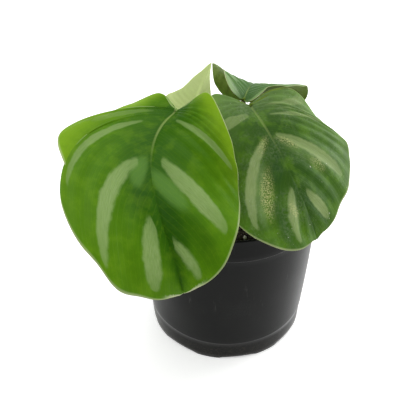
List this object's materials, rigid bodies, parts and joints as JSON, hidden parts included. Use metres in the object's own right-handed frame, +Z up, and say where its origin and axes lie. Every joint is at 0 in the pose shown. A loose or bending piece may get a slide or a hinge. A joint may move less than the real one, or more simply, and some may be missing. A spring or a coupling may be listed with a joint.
{
  "type": "potted calathea",
  "caption": "Young potted calathea: broad silver-banded leaves on short stalks drooping over a thin plastic nursery pot filled with potting mix",
  "frame": {"origin": "middle of the pot's underside, on the surface the pot stands on", "axes": "+Z up the pot's axis, -Y towards the two large front leaves, +X to the plant's right seen from the front"},
  "size_m": [0.1519, 0.1724, 0.1629],
  "materials": {
    "pot_plastic": "thin black moulded plastic, scuffed, with a soft sheen",
    "potting_mix": "damp crumbly peat with a few pale grains",
    "rhizome": "dull brown and fibrous",
    "petiole": "smooth pale green stalk",
    "pulvinus": "brownish green, slightly fuzzy",
    "blade_front_left": "glossy yellow-green with pale silvery bands along the side veins and a thin pale edge",
    "blade_front_right": "dark green, dusty, with silvery bands and small cream flecks",
    "blade_back_right": "grey-green above and dull olive beneath",
    "blade_young": "soft pale yellow-green, seen from beneath"
  },
  "bodies": {
    "root": {"nursery_pot": "pot_plastic", "potting_mix": "potting_mix", "rhizome": "rhizome", "blade_front_left": "blade_front_left", "petiole_front_left": "petiole", "pulvinus_front_left": "pulvinus", "blade_front_right": "blade_front_right", "petiole_front_right": "petiole", "pulvinus_front_right": "pulvinus", "blade_back_right": "blade_back_right", "petiole_back_right": "petiole", "pulvinus_back_right": "pulvinus", "blade_young": "blade_young", "petiole_young": "petiole", "pulvinus_young": "pulvinus"}
  },
  "joints": []
}
